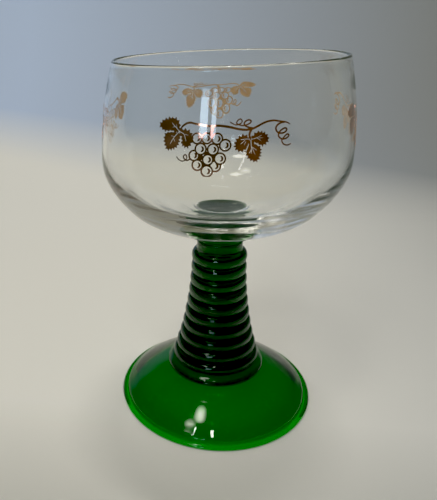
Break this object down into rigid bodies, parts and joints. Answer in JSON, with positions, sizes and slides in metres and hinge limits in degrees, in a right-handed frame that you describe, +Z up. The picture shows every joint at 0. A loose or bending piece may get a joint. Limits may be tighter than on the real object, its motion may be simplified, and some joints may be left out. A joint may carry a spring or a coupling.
{
  "type": "goblet",
  "caption": "Roemer-style wine goblet: clear round bowl with gilt vine sprigs on a solid green ribbed stem and a green domed foot.",
  "frame": {"origin": "on the axis of the goblet, in the plane the foot stands on", "axes": "+Z up along the goblet's axis; the front gilt sprig faces -Y and +X is to its right"},
  "size_m": [0.0909, 0.0908, 0.142],
  "materials": {
    "clear_glass": "clear colourless soda glass, fire polished",
    "stem_glass": "transparent bottle-green glass, glossy, thick",
    "foot_glass": "transparent bottle-green glass, glossy",
    "gilding": "bright fired-on gold, thin, copper-brown where it mirrors the dark"
  },
  "bodies": {
    "root": {"bowl": "clear_glass", "stem": "stem_glass", "foot": "foot_glass", "gold_sprig_front": "gilding", "gold_sprig_right": "gilding", "gold_sprig_rear": "gilding", "gold_sprig_left": "gilding"}
  },
  "joints": []
}
